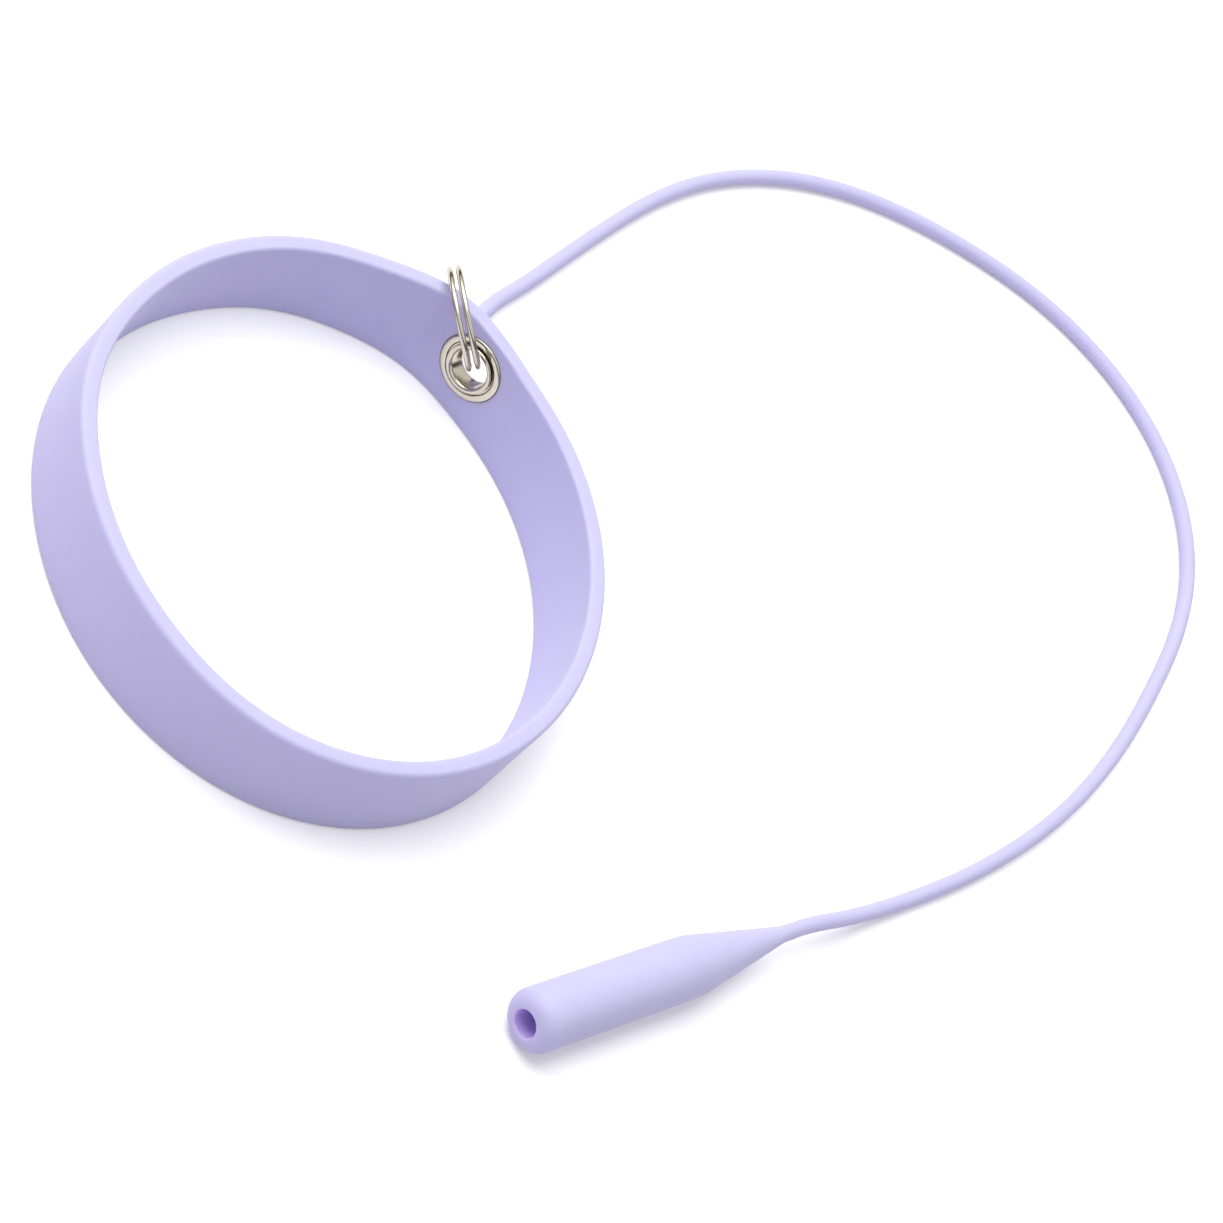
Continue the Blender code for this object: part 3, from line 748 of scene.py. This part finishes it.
def settle_round_eyelet(scene, bm):
    """Flatten the silicone where flange and washer clamp it, easing out to the band's own curve."""
    eyelet = scene.strap_eyelet
    place_there = eyelet_frame(scene)
    to_local = place_there.inverted()
    brim = eyelet.washer_diameter / 2
    half = scene.strap_band.wall / 2
    reach = eyelet.settle
    for vert in bm.verts:
        local = to_local @ vert.co
        distance = math.hypot(local.x, local.y)
        depth = abs(local.z)
        if depth > CLAMP_REACH * half or distance > brim + reach:
            continue
        share = 1 - smoothstep((distance - brim) / reach)
        flat = math.copysign(half * CLAMPED_HALF, local.z) if depth > half * FACE_DEPTH else local.z
        local.z += (flat - local.z) * share * min(depth / half, 1.0)
        vert.co = place_there @ local


def bore_radius(scene):
    """The bore lets the leaning ring through with its gap, up to where the flare begins."""
    eyelet = scene.strap_eyelet
    ring = scene.strap_ring
    straight = lip_underside(scene) + eyelet.sheet - eyelet.flare
    reach = straight * math.tan(ring.pitch) + ring_section_half(scene) / math.cos(ring.pitch)
    return reach + ring.bore_gap


def seat_floor(scene):
    """Distance of each seat's floor from the middle of the wall."""
    return scene.strap_band.wall / 2 - scene.strap_eyelet.seat_depth


def lip_underside(scene):
    """Height of the rolled lip's underside, on the inner face."""
    eyelet = scene.strap_eyelet
    return seat_floor(scene) + eyelet.washer_thickness + 2 * eyelet.fit_gap


def seat_profile(scene):
    """What the eyelet's hole and its two seats take out of the wall."""
    eyelet = scene.strap_eyelet
    hole = bore_radius(scene) + eyelet.sheet + eyelet.fit_gap
    floor = seat_floor(scene)
    far = 2 * scene.strap_band.wall
    outer = (eyelet.flange_diameter + eyelet.fit_gap) / 2
    inner = (eyelet.washer_diameter + eyelet.fit_gap) / 2
    return [(0.0, far), (outer, far), (outer, floor), (hole, floor),
            (hole, -floor), (inner, -floor), (inner, -far), (0.0, -far)]


def eyelet_profile(scene):
    """Bore, outer flange, barrel and rolled inner lip, as one closed section."""
    eyelet = scene.strap_eyelet
    bore = bore_radius(scene)
    turn = bore + eyelet.flare
    under = seat_floor(scene) + eyelet.fit_gap
    edge_top = under + eyelet.flange_thickness
    crest = edge_top + eyelet.flange_crown
    edge = eyelet.flange_diameter / 2
    lip_under = lip_underside(scene)
    lip_crest = lip_under + eyelet.sheet
    half_sheet = eyelet.sheet / 2
    steps = EYELET_ARC_STEPS
    profile = arc((turn, crest - eyelet.flare), eyelet.flare, 180, 90, steps)
    profile += rounded_corner((turn, crest), (edge, edge_top), (edge, under), eyelet.flange_round, steps)
    profile += [(edge, under), (bore + eyelet.sheet, under)]
    profile += arc((turn, eyelet.flare - lip_crest), eyelet.flare - eyelet.sheet, 180, 270, steps)
    profile += arc((turn, -lip_under - half_sheet), half_sheet, 90, -90, steps)[1:]
    profile += arc((turn, eyelet.flare - lip_crest), eyelet.flare, 270, 180, steps)[1:]
    return profile


def washer_profile(scene):
    """A flat inner land under the lip, a groove round it and a crowned brim, as one closed section."""
    eyelet = scene.strap_eyelet
    under = -seat_floor(scene) - eyelet.fit_gap
    land = under - eyelet.washer_thickness
    inner = bore_radius(scene) + eyelet.sheet + 2 * eyelet.fit_gap
    outer = eyelet.washer_diameter / 2
    lip = bore_radius(scene) + eyelet.flare + eyelet.sheet / 2
    brim_inner = lip + eyelet.washer_groove
    middle = (outer + brim_inner) / 2
    half = (outer - brim_inner) / 2
    profile = [(outer, under), (inner, under), (inner, land)]
    steps = 2 * EYELET_ARC_STEPS
    for k in range(steps + 1):
        turn = math.pi * (1 - k / steps)
        profile.append((middle + half * math.cos(turn), land - eyelet.washer_crown * math.sin(turn)))
    return profile


def ring_points(scene):
    """Middle line of the wire: two turns, less the jog, where only one strand crosses over."""
    ring = scene.strap_ring
    place_there = ring_frame(scene)
    full_turn = 2 * math.pi
    total = 2 * full_turn - ring.jog
    rise = ring.wire + ring.turn_gap
    radius = ring.diameter / 2
    steps = round(total / full_turn * RING_STEPS_PER_TURN)
    points = []
    for k in range(steps + 1):
        along = total * k / steps
        lift = smoothstep((along - full_turn + ring.jog) / ring.jog) - 0.5
        turn = ring.jog_start + along
        on_ring = Vector((radius * math.cos(turn), radius * math.sin(turn), rise * lift))
        points.append(place_there @ on_ring)
    return points


def run_along(points):
    """How far along a line each of its points is."""
    return np.concatenate([[0.0], np.cumsum(np.linalg.norm(np.diff(points, axis=0), axis=1))])


def spline_through(points, spacing):
    """Evenly spaced points along the natural cubic spline through the given ones."""
    knots = np.array([tuple(point) for point in points])
    chord = run_along(knots)
    gaps = np.diff(chord)
    count = len(knots)
    system = np.eye(count)
    known = np.zeros_like(knots)
    for k in range(1, count - 1):
        system[k, k - 1:k + 2] = gaps[k - 1], 2 * (gaps[k - 1] + gaps[k]), gaps[k]
        slopes = np.diff(knots[k - 1:k + 2], axis=0) / gaps[k - 1:k + 1, None]
        known[k] = 6 * (slopes[1] - slopes[0])
    bends = np.linalg.solve(system, known)
    samples = []
    for at in np.linspace(0.0, chord[-1], CORD_SAMPLES_PER_KNOT * count):
        k = min(np.searchsorted(chord, at, side="right") - 1, count - 2)
        after = (at - chord[k]) / gaps[k]
        before = 1 - after
        lift = (before ** 3 - before) * bends[k] + (after ** 3 - after) * bends[k + 1]
        samples.append(before * knots[k] + after * knots[k + 1] + lift * gaps[k] ** 2 / 6)
    samples = np.array(samples)
    along = run_along(samples)
    even = np.linspace(0.0, along[-1], round(along[-1] / spacing) + 1)
    return np.stack([np.interp(even, along, samples[:, axis]) for axis in range(3)], axis=1)


def cord_points(scene):
    """From inside the neck, along the route on the surface, into the socket's tip."""
    tether = scene.strap_tether
    eye = eye_frame(scene)
    socket = socket_frame(scene)
    origin = tether_origin(scene)
    end = socket_length(scene)
    reach = neck_reach(scene)
    gap = tether.cord_gap
    first = [eye @ Vector((reach + gap + lead, 0.0, 0.0)) for lead in (0.0, tether.neck_lead)]
    last = [socket @ Vector((0.0, 0.0, end + gap + lead)) for lead in (tether.tip_lead, 0.0)]
    route = [origin + Vector(point) for point in CORD_ROUTE]
    points = spline_through(first + route + last, CORD_SPACING)
    points[:, 2] = np.maximum(points[:, 2], CORD_LIE)
    start = eye @ Vector((reach - tether.cord_seat, 0.0, 0.0))
    finish = socket @ Vector((0.0, 0.0, end - tether.cord_seat))
    return [start, *points, finish]


def socket_profile(scene):
    """Blind bore, rounded mouth, a body that slims a little and a taper, from pole to pole."""
    tether = scene.strap_tether
    bore = tether.socket_bore / 2
    mouth = (tether.mouth_diameter / 2, 0.0)
    cord = tether.cord_diameter / 2
    tip = cord + tether.tip_wall
    end = socket_length(scene)
    shoulder = (tether.socket_diameter / 2, tether.socket_straight)
    throat = (tip, end - tether.cord_diameter)
    depth = tether.socket_depth
    steps = SOCKET_ARC_STEPS
    profile = arc((0.0, depth - bore), bore, 90, 0, steps)
    profile += stretch((bore, depth - bore), (bore, tether.bore_round), steps)
    profile += rounded_corner((bore, bore), (bore, 0.0), mouth, tether.bore_round, steps)
    profile += rounded_corner((bore, 0.0), mouth, shoulder, tether.mouth_round, steps)
    # The stretch's first and last points would lie in the rounded corners
    profile += stretch(mouth, shoulder, steps)[1:-2]
    profile += rounded_corner(mouth, shoulder, throat, tether.shoulder_round, steps)
    profile += rounded_corner(shoulder, throat, (tip, end + cord), tether.tip_round, steps)
    profile += arc((tip - tether.tip_wall, end - tether.tip_wall), tether.tip_wall, 0, 90, steps)
    profile += [(0.0, end)]
    return profile


class WRIST_STRAP_OT_make_band(bpy.types.Operator):
    """Make the endless band, seated round its eyelet."""

    bl_idname = "wrist_strap.make_band"
    bl_label = "Make Band"

    def execute(self, context):
        scene = context.scene
        middle = scene.strap_band.diameter / 2
        section = [(middle + offset, height) for offset, height in band_section(scene)]
        bm = turned(section, BAND_STEPS, closed=True)
        lay_out_oval(scene, bm)
        settle_round_eyelet(scene, bm)
        band = mesh_object("band_skin", bm)
        cutter = turned(seat_profile(scene), EYELET_STEPS, closed=False)
        combine(band, mesh_object("eyelet_seats", cutter, eyelet_frame(scene)), "DIFFERENCE")
        hand_over(band, silicone(scene, "band_silicone_skin"), "band", "wristband")
        return {"FINISHED"}


class WRIST_STRAP_OT_make_eyelet(bpy.types.Operator):
    """Make the flanged eyelet and the washer that it is rolled over."""

    bl_idname = "wrist_strap.make_eyelet"
    bl_label = "Make Eyelet and Washer"

    def execute(self, context):
        scene = context.scene
        place_there = eyelet_frame(scene)
        roughness = scene.strap_eyelet.roughness
        pieces = (("eyelet_shell", eyelet_profile(scene), "eyelet_nickel", "eyelet"),
                  ("washer_plate", washer_profile(scene), "washer_nickel", "eyelet_washer"))
        for name, profile, slot, node in pieces:
            piece = mesh_object(name, turned(profile, EYELET_STEPS, closed=True), place_there)
            finish = nickel(scene, slot + "_plate", roughness, place_there, EYELET_LINES)
            hand_over(piece, finish, "band", node)
        return {"FINISHED"}


class WRIST_STRAP_OT_make_ring(bpy.types.Operator):
    """Make the split ring that joins eyelet and loop."""

    bl_idname = "wrist_strap.make_ring"
    bl_label = "Make Split Ring"

    def execute(self, context):
        scene = context.scene
        ring = scene.strap_ring
        wire = curve_object("ring_wire", ring_points(scene), ring.wire, WIRE_RESOLUTION)
        graph = context.evaluated_depsgraph_get()
        mesh = bpy.data.meshes.new_from_object(wire.evaluated_get(graph))
        bpy.data.objects.remove(wire, do_unlink=True)
        bm = bmesh.new()
        bm.from_mesh(mesh)
        bpy.data.meshes.remove(mesh)
        close_up(bm)
        rims = [edge for edge in bm.edges if edge.calc_face_angle(0.0) > WIRE_END_ANGLE]
        bmesh.ops.bevel(bm, geom=rims, offset=ring.end_round, offset_type="OFFSET",
                        segments=WIRE_END_STEPS, profile=0.5, affect="EDGES", material=-1)
        roughness = scene.strap_eyelet.roughness * RING_POLISH
        finish = nickel(scene, "ring_nickel_plate", roughness, ring_frame(scene), RING_LINES)
        hand_over(mesh_object("ring_wire", bm), finish, "ring", "split_ring")
        return {"FINISHED"}


class WRIST_STRAP_OT_make_loop(bpy.types.Operator):
    """Make the moulded loop with its neck."""

    bl_idname = "wrist_strap.make_loop"
    bl_label = "Make Loop"

    def execute(self, context):
        scene = context.scene
        tether = scene.strap_tether
        half = tether.eye_section / 2
        middle = eye_hole_radius(scene) + half
        place_there = eye_frame(scene)
        section = arc((middle, 0.0), half, 0, 360, EYE_SECTION_STEPS)[:-1]
        swell = tether.cord_diameter / 2 + tether.neck_swell
        end = neck_reach(scene)
        profile = [(0.0, middle), (half, middle), (swell, middle + half), (swell, middle + 2 * half),
                   (tether.cord_diameter / 2 + tether.tip_wall, end), (0.0, end)]
        along_cord = place_there @ Matrix.Rotation(math.radians(90.0), 4, "Y")
        eye = mesh_object("loop_skin", turned(section, EYE_STEPS, closed=True), place_there)
        neck = mesh_object("neck", turned(profile, EYE_STEPS, closed=False), along_cord)
        combine(eye, neck, "UNION")
        remesh = eye.modifiers.new("skin", "REMESH")
        remesh.mode = "VOXEL"
        remesh.voxel_size = EYE_VOXEL
        soften = eye.modifiers.new("soften", "SMOOTH")
        soften.factor = EYE_SOFTENING
        soften.iterations = EYE_SMOOTHING
        settle_modifiers(eye)
        hand_over(eye, silicone(scene, "loop_silicone_skin"), "tether", "tether_eye")
        return {"FINISHED"}


class WRIST_STRAP_OT_make_socket(bpy.types.Operator):
    """Make the grip socket with its blind bore."""

    bl_idname = "wrist_strap.make_socket"
    bl_label = "Make Grip Socket"

    def execute(self, context):
        scene = context.scene
        bm = turned(socket_profile(scene), SOCKET_STEPS, closed=False)
        socket = mesh_object("socket_skin", bm, socket_frame(scene))
        # The socket's bore gets the painted glow
        finish = silicone(scene, "socket_silicone_skin", paint_bore_glow=True)
        hand_over(socket, finish, "tether", "grip_socket")
        return {"FINISHED"}


class WRIST_STRAP_OT_make_cord(bpy.types.Operator):
    """Lay the cord from the loop to the socket."""

    bl_idname = "wrist_strap.make_cord"
    bl_label = "Make Cord"

    def execute(self, context):
        scene = context.scene
        tether = scene.strap_tether
        points = cord_points(scene)
        cord = curve_object("cord_skin", points, tether.cord_diameter, CORD_RESOLUTION)
        hand_over(cord, silicone(scene, "cord_silicone_skin"), "tether", "tether_cord")
        return {"FINISHED"}


class WRIST_STRAP_OT_make_stage(bpy.types.Operator):
    """Set up the floor, the light and the camera."""

    bl_idname = "wrist_strap.make_stage"
    bl_label = "Make Stage"

    def execute(self, context):
        scene = context.scene
        stage = scene.strap_stage
        scene.view_settings.view_transform = "Standard"
        self.make_floor(stage)
        self.make_cards(stage)
        self.make_light(stage)
        self.make_world(scene, stage)
        self.make_camera(scene, stage)
        return {"FINISHED"}

    def make_floor(self, stage):
        """A wide pale floor just under the part."""
        bm = bmesh.new()
        bmesh.ops.create_grid(bm, x_segments=1, y_segments=1, size=FLOOR_REACH)
        bmesh.ops.translate(bm, verts=bm.verts, vec=(0.0, 0.0, -FLOOR_DROP))
        floor = mesh_object("floor", bm)
        material, tree, shader = new_material("floor_paper")
        seen = seen_directly(tree, (-900, 200))
        paper = mixed(tree, (-300, 200), seen, (*stage.floor_bounce, 1.0), (*stage.floor_colour, 1.0))
        tree.links.new(paper, shader.inputs["Base Color"])
        glow = ranged(tree, (-300, -100), seen, 0.0, 1.0, 0.0, stage.floor_glow)
        tree.links.new(glow, shader.inputs["Emission Strength"])
        set_inputs(shader, Roughness=1.0, Specular_IOR_Level=0.0)
        floor.data.materials.append(material)

    def make_cards(self, stage):
        """Dark cards all round, low down, that only reflections show: they draw the metal's edges."""
        bm = bmesh.new()
        foot = bmesh.ops.create_circle(bm, cap_ends=False, segments=CARD_STEPS,
                                       radius=stage.card_distance)
        wall = bmesh.ops.extrude_edge_only(bm, edges=bm.edges[:])
        upper = [item for item in wall["geom"] if isinstance(item, bmesh.types.BMVert)]
        bmesh.ops.translate(bm, verts=foot["verts"], vec=(0.0, 0.0, stage.card_height * CARD_FOOT))
        bmesh.ops.translate(bm, verts=upper, vec=(0.0, 0.0, stage.card_height))
        cards = mesh_object("dark_cards", bm)
        material, _, shader = new_material("dark_card")
        set_inputs(shader, Base_Color=(*stage.card_colour, 1.0), Roughness=1.0)
        cards.data.materials.append(material)
        for rays in ("camera", "diffuse", "transmission", "shadow"):
            setattr(cards, "visible_" + rays, False)

    def make_light(self, stage):
        """One large soft lamp overhead."""
        lamp = bpy.data.lights.new("key_lamp", "AREA")
        lamp.size = stage.key_size
        lamp.energy = stage.key
        key = new_object("key_lamp", lamp)
        key.location = stage.key_place
        key.rotation_euler = Vector(stage.key_place).to_track_quat("Z", "Y").to_euler()

    def make_world(self, scene, stage):
        """Even light all round, seen as plain white by the camera and in reflections."""
        world = bpy.data.worlds.new("studio")
        scene.world = world
        world.use_nodes = True
        tree = world.node_tree
        ambient = tree.nodes["Background"]
        set_inputs(ambient, Color=WHITE, Strength=stage.ambient)
        backdrop = add_node(tree, "ShaderNodeBackground", (0, -200), Color=WHITE, Strength=1.0)
        seen = seen_directly(tree, (-400, 300))
        choose = add_node(tree, "ShaderNodeMixShader", (250, 100))
        for k, socket in enumerate((seen, ambient.outputs[0], backdrop.outputs[0])):
            tree.links.new(socket, choose.inputs[k])
        tree.links.new(choose.outputs[0], tree.nodes["World Output"].inputs["Surface"])

    def make_camera(self, scene, stage):
        """A long lens that looks down on the part, rolled about its own axis."""
        data = bpy.data.cameras.new("camera")
        data.lens = stage.camera_lens
        data.sensor_width = SENSOR_WIDTH
        data.clip_start = NEAREST_SEEN
        data.clip_end = FARTHEST_SEEN
        camera = new_object("camera", data)
        back = (Vector(stage.camera_place) - Vector(stage.camera_target)).normalized()
        level = UP.cross(back).normalized()
        upright = frame_matrix(level, back.cross(level), back, Vector(stage.camera_place))
        camera.matrix_world = upright @ Matrix.Rotation(-stage.camera_roll, 4, "Z")
        scene.camera = camera


class WRIST_STRAP_PT_pieces(bpy.types.Panel):
    """Lists the operators and the sizes of the wrist strap."""

    bl_label = "Corded Wrist Strap"
    bl_idname = "WRIST_STRAP_PT_pieces"
    bl_space_type = "VIEW_3D"
    bl_region_type = "UI"
    bl_category = "Wrist Strap"

    def draw(self, context):
        layout = self.layout
        for operator in OPERATORS:
            layout.operator(operator.bl_idname)
        for name in SETTINGS:
            group = getattr(context.scene, name)
            box = layout.box()
            for key in group.bl_rna.properties.keys():
                if key not in {"rna_type", "name"}:
                    box.prop(group, key)


OPERATORS = (
    WRIST_STRAP_OT_make_stage,
    WRIST_STRAP_OT_make_band,
    WRIST_STRAP_OT_make_eyelet,
    WRIST_STRAP_OT_make_ring,
    WRIST_STRAP_OT_make_loop,
    WRIST_STRAP_OT_make_socket,
    WRIST_STRAP_OT_make_cord,
)

SETTINGS = {
    "strap_band": StrapBandSettings,
    "strap_eyelet": StrapEyeletSettings,
    "strap_ring": StrapRingSettings,
    "strap_tether": StrapTetherSettings,
    "strap_stage": StrapStageSettings,
}


def register():
    """Register the settings, the operators and the panel."""
    for name, group in SETTINGS.items():
        bpy.utils.register_class(group)
        setattr(bpy.types.Scene, name, bpy.props.PointerProperty(type=group))
    for operator in OPERATORS:
        bpy.utils.register_class(operator)
    bpy.utils.register_class(WRIST_STRAP_PT_pieces)


def unregister():
    """Take everything out again."""
    bpy.utils.unregister_class(WRIST_STRAP_PT_pieces)
    for operator in reversed(OPERATORS):
        bpy.utils.unregister_class(operator)
    for name, group in reversed(SETTINGS.items()):
        delattr(bpy.types.Scene, name)
        bpy.utils.unregister_class(group)


def main():
    """Make every piece."""
    register()
    bpy.ops.wrist_strap.make_stage()
    bpy.ops.wrist_strap.make_band()
    bpy.ops.wrist_strap.make_eyelet()
    bpy.ops.wrist_strap.make_ring()
    bpy.ops.wrist_strap.make_loop()
    bpy.ops.wrist_strap.make_socket()
    bpy.ops.wrist_strap.make_cord()


if __name__ == "__main__":
    main()
